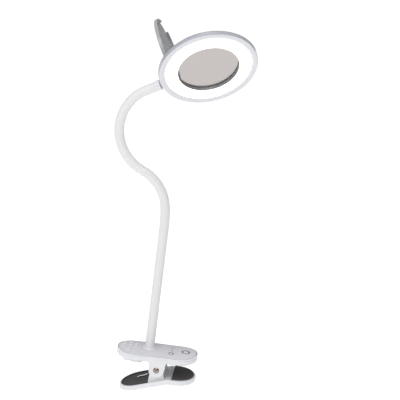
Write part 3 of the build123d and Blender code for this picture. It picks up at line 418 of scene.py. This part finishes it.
# points on each turn of the coil, whose winding spreads evenly to each side of its middle
POINTS_A_TURN = 48
WIRE_SIDES = 16
UPPER_LEG_ANGLE = radians(78.0)
LOWER_LEG_ANGLE = radians(-48.6)
UPPER_LEG_LENGTH = 17.7 * MM
UPPER_LEG_RISE = radians(12.0)
LOWER_LEG_HEEL_X = -43.2 * MM
LOWER_LEG_TIP_X = -54.5 * MM
# the heel of the lower leg stands above the handle, and its tip dips into the handle
HEEL_LIFT = 1.0 * MM
TIP_DIP = 0.2 * MM
LEG_BEND_RADIUS = 2.0 * MM
LEG_BEND_STEPS = 10
# the lower handle's top face: where it starts to fall, its height there and its slope
HANDLE_KINK_X = -15.0 * MM
HANDLE_KINK_Z = -19.6 * MM
HANDLE_SLOPE = radians(18.0)


def coil_point(angle, y):
    """A point on the coil's centre line, at an angle from +X towards +Z about the pivot."""
    return Vector((PIVOT.x + COIL_RADIUS * cos(angle), y, PIVOT.z + COIL_RADIUS * sin(angle)))


def tube_along(points, radius, count):
    """Rings round a line of points, turned as little as they can be from one to the next."""
    rings = []
    across = SIDEWAYS
    for k, point in enumerate(points):
        direction = (points[min(k + 1, len(points) - 1)] - points[max(k - 1, 0)]).normalized()
        across, over = square_to(direction, across)
        rings.append(circle(point, across, over, radius, count))
    return rings


def rounded_path(corners, radius, steps):
    """A line through corners, each rounded by a curve that starts and ends where an arc would."""
    line = [corners[0]]
    for before, corner, after in zip(corners, corners[1:], corners[2:]):
        back = (before - corner).normalized()
        ahead = (after - corner).normalized()
        half = back.angle(ahead) / 2
        reach = radius / (sin(half) / cos(half))
        start = corner + back * reach
        end = corner + ahead * reach
        for k in range(steps + 1):
            t = k / steps
            line.append(start.lerp(corner, t).lerp(corner.lerp(end, t), t))
    line.append(corners[-1])
    return line


def handle_top(x):
    """Height of the lower handle's top face at x, left of its kink."""
    return HANDLE_KINK_Z - (HANDLE_KINK_X - x) * sin(HANDLE_SLOPE) / cos(HANDLE_SLOPE)


def torsion_spring():
    """The clamp's spring: one leg under the housing, the coil round the pin, one leg on the handle."""
    sweep = UPPER_LEG_ANGLE - LOWER_LEG_ANGLE + 2 * pi * COIL_TURNS
    height = COIL_PITCH * sweep / (2 * pi)
    count = POINTS_A_TURN * COIL_TURNS
    parts = [k / count for k in range(count + 1)]
    coil = [coil_point(UPPER_LEG_ANGLE - sweep * part, -height / 2 + height * part) for part in parts]
    upper_way = Vector((-cos(UPPER_LEG_RISE), 0, sin(UPPER_LEG_RISE)))
    upper_end = coil[0] + upper_way * UPPER_LEG_LENGTH
    heel = Vector((LOWER_LEG_HEEL_X, coil[-1].y, handle_top(LOWER_LEG_HEEL_X) + HEEL_LIFT))
    tip = Vector((LOWER_LEG_TIP_X, coil[-1].y, handle_top(LOWER_LEG_TIP_X) - TIP_DIP))
    lower_leg = rounded_path([coil[-1], heel, tip], LEG_BEND_RADIUS, LEG_BEND_STEPS)
    line = [upper_end] + coil + lower_leg[1:]
    return mesh_object("coil_spring", tube_along(line, WIRE_RADIUS, WIRE_SIDES), spring_steel)


spring = torsion_spring()
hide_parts("torsion_spring")
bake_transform(spring)


# ---------------------------------------------------------------- head
NECK_END = NECK[-1][1]
ALONG = NECK[-1][2]
SIDE = FRONT.cross(ALONG)
HEAD_REACH = 66.0 * MM
HEAD_OFFSET = 5.6 * MM
HEAD_CENTRE = NECK_END + ALONG * HEAD_REACH + FRONT * HEAD_OFFSET
# the lens in millimetres, its depths counted from the head's centre towards the front
LENS_RADIUS = 38.4
LENS_BULGE = 1.9
LENS_EDGE = 2.0
LENS_FRONT = -5.5
LENS_BACK = LENS_FRONT - LENS_EDGE
# radius of the tiny flat in the middle of each face
LENS_POLE = 0.02


def turned(name, profile, material, count=128, smooth_angle=0.5):
    """Turn a profile of (radius, depth to the front) points, in millimetres, about the head's axis."""
    rings = [
        circle(HEAD_CENTRE + FRONT * (depth * MM), ALONG, SIDE, radius * MM, count)
        for radius, depth in profile
    ]
    return mesh_object(name, rings, material, smooth_angle=smooth_angle)


def lens_profile(steps=26):
    """Half of a biconvex section, from the middle of the front face round to the middle of the back."""
    sphere = (LENS_RADIUS**2 + LENS_BULGE**2) / (2 * LENS_BULGE)
    radii = [LENS_RADIUS * k / steps for k in range(1, steps + 1)]
    domed = [(r, LENS_BULGE - sphere + sqrt(sphere**2 - r**2)) for r in radii]
    face = [(LENS_POLE, LENS_FRONT + LENS_BULGE)] + [(r, LENS_FRONT + h) for r, h in domed]
    back = [(LENS_POLE, LENS_BACK - LENS_BULGE)] + [(r, LENS_BACK - h) for r, h in domed]
    return face + list(reversed(back))


lens = turned("lens_disc", lens_profile(), glass, smooth_angle=0.7)
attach(lens, "head")
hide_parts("lens")


# ---------------------------------------------------------------- light and stage
def studio_world():
    """A plain studio: white where the camera sees it, and soft grey from below to above as light."""
    world = bpy.data.worlds.new("studio")
    bpy.context.scene.world = world
    world.use_nodes = True
    nodes = world.node_tree.nodes
    links = world.node_tree.links
    height = nodes.new("ShaderNodeSeparateXYZ")
    fall = nodes.new("ShaderNodeMapRange")
    for key, value in (("From Min", 0.0), ("From Max", 1.0), ("To Min", 0.22), ("To Max", 0.6)):
        fall.inputs[key].default_value = value
    links.new(nodes.new("ShaderNodeTexCoord").outputs["Generated"], height.inputs["Vector"])
    links.new(height.outputs["Z"], fall.inputs["Value"])
    seen = nodes.new("ShaderNodeMath")
    seen.operation = "MAXIMUM"
    links.new(fall.outputs["Result"], seen.inputs[0])
    links.new(nodes.new("ShaderNodeLightPath").outputs["Is Camera Ray"], seen.inputs[1])
    links.new(seen.outputs["Value"], nodes["Background"].inputs["Strength"])
    nodes["Background"].inputs["Color"].default_value = (1, 1, 1, 1)


def soft_light(name, place, target, size, power):
    """A square area light that looks at a target."""
    data = bpy.data.lights.new(name, "AREA")
    data.size = size
    data.energy = power
    light = bpy.data.objects.new(name, data)
    bpy.context.scene.collection.objects.link(light)
    light.location = place
    light.rotation_euler = (Vector(target) - Vector(place)).to_track_quat("-Z", "Y").to_euler()


def paper_floor(half_width=14.0, gap=0.02):
    """A wide sheet of pale paper, a little way below the lamp."""
    data = bpy.data.meshes.new("floor")
    corners = [(x * half_width, y * half_width, 0) for x, y in ((-1, -1), (1, -1), (1, 1), (-1, 1))]
    data.from_pydata(corners, [], [(0, 1, 2, 3)])
    floor = bpy.data.objects.new("floor", data)
    bpy.context.scene.collection.objects.link(floor)
    floor.location.z = cad_box[0][2] - gap
    paper = Nodes("floor_paper")
    paper.link("Base Color", paper.mix(paper.noise(8.0), (0.44, 0.44, 0.44, 1), (0.46, 0.46, 0.46, 1)))
    paper.set(Roughness=0.9, Emission_Color=(1, 1, 1, 1), Emission_Strength=0.80)
    dress(floor, paper.material)


bpy.context.scene.view_settings.view_transform = "Standard"
studio_world()
soft_light("key", (-1.0, -2.1, 1.5), (-0.03, 0, 0.2), 1.3, 16.0)
soft_light("top", (0.0, -0.5, 1.8), (-0.03, 0, 0.1), 1.2, 12.0)
paper_floor()
